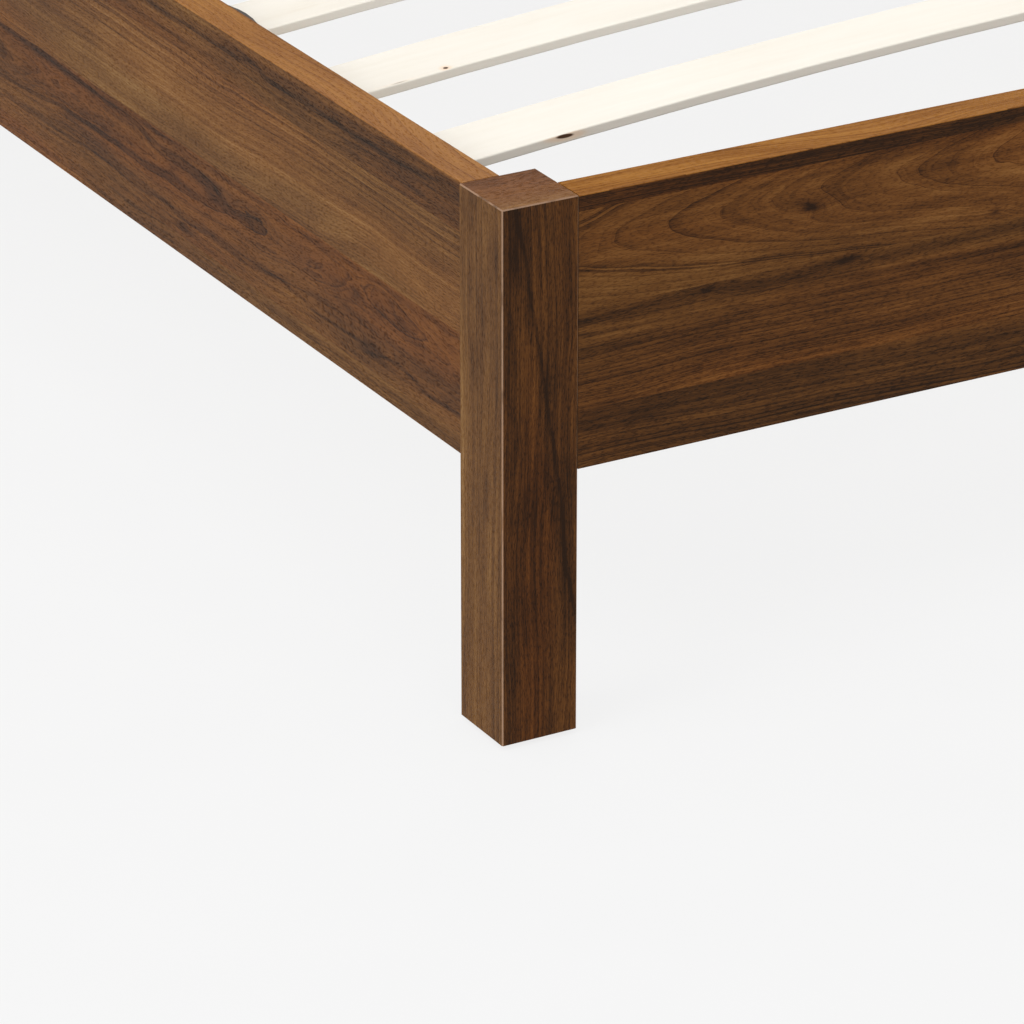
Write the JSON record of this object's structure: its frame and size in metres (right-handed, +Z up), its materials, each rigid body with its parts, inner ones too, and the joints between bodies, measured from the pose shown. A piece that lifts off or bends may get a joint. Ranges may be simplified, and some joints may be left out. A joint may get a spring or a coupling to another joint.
{
  "type": "bed frame",
  "caption": "Low wooden bed frame with corner posts, board side, foot and head rails, bowed sprung slats, centre beam on steel legs, and a plain two-piece panel headboard.",
  "frame": {"origin": "on the floor, under the middle of the whole bed", "axes": "+X to the right seen from the foot, +Y from the foot to the headboard, +Z up"},
  "size_m": [1.61, 2.135, 1.042],
  "materials": {
    "walnut_veneer": "satin",
    "rail_edge_band": "satin",
    "headboard_edge_band": "satin",
    "slat_wood": "bare sanded",
    "support_softwood": "bare planed",
    "dowel_beech": "bare turned",
    "yellow_zinc": "yellow zinc plated",
    "black_steel": "powder coated",
    "black_plastic": "moulded",
    "cap_plastic": "moulded"
  },
  "bodies": {
    "frame": {"foot_post_left": "walnut_veneer", "foot_post_right": "walnut_veneer", "head_post_left": "walnut_veneer", "head_post_right": "walnut_veneer", "foot_rail": "walnut_veneer", "head_rail": "walnut_veneer", "side_rail_left": "walnut_veneer", "side_rail_right": "walnut_veneer", "headboard_panel_left": "walnut_veneer", "headboard_panel_right": "walnut_veneer", "foot_rail_band": "rail_edge_band", "head_rail_band": "rail_edge_band", "side_rail_band_left": "rail_edge_band", "side_rail_band_right": "rail_edge_band", "headboard_bands_left": "headboard_edge_band", "headboard_bands_right": "headboard_edge_band", "slat_01": "slat_wood", "slat_02": "slat_wood", "slat_03": "slat_wood", "slat_04": "slat_wood", "slat_05": "slat_wood", "slat_06": "slat_wood", "slat_07": "slat_wood", "slat_08": "slat_wood", "slat_09": "slat_wood", "slat_10": "slat_wood", "slat_11": "slat_wood", "slat_12": "slat_wood", "slat_13": "slat_wood", "slat_ledge_left": "support_softwood", "slat_ledge_right": "support_softwood", "centre_beam": "support_softwood", "rail_dowels": "dowel_beech", "seam_dowels": "dowel_beech", "seam_rods": "yellow_zinc", "seam_washers": "yellow_zinc", "seam_nuts": "yellow_zinc", "rail_rods": "yellow_zinc", "rail_washers": "yellow_zinc", "rail_nuts": "yellow_zinc", "post_inserts": "yellow_zinc", "panel_inserts": "yellow_zinc", "headboard_bolts": "yellow_zinc", "headboard_bolt_washers": "yellow_zinc", "headboard_screws": "yellow_zinc", "ledge_screws": "yellow_zinc", "hanger_screws": "yellow_zinc", "leg_screws": "yellow_zinc", "centre_leg_front": "black_steel", "centre_leg_rear": "black_steel", "beam_hangers": "black_steel", "leg_tube_plugs": "black_plastic", "post_glides": "black_plastic", "slat_caps_left": "cap_plastic", "slat_caps_right": "cap_plastic"},
    "front_leveller": {"levelling_foot_front": "black_plastic"},
    "rear_leveller": {"levelling_foot_rear": "black_plastic"}
  },
  "joints": [
    {"name": "front_leveller_adjust", "type": "slide", "parent": "frame", "child": "front_leveller", "axis": [0, 0, -1], "range_m": [0, 0.02]},
    {"name": "rear_leveller_adjust", "type": "slide", "parent": "frame", "child": "rear_leveller", "axis": [0, 0, -1], "range_m": [0, 0.02]}
  ]
}
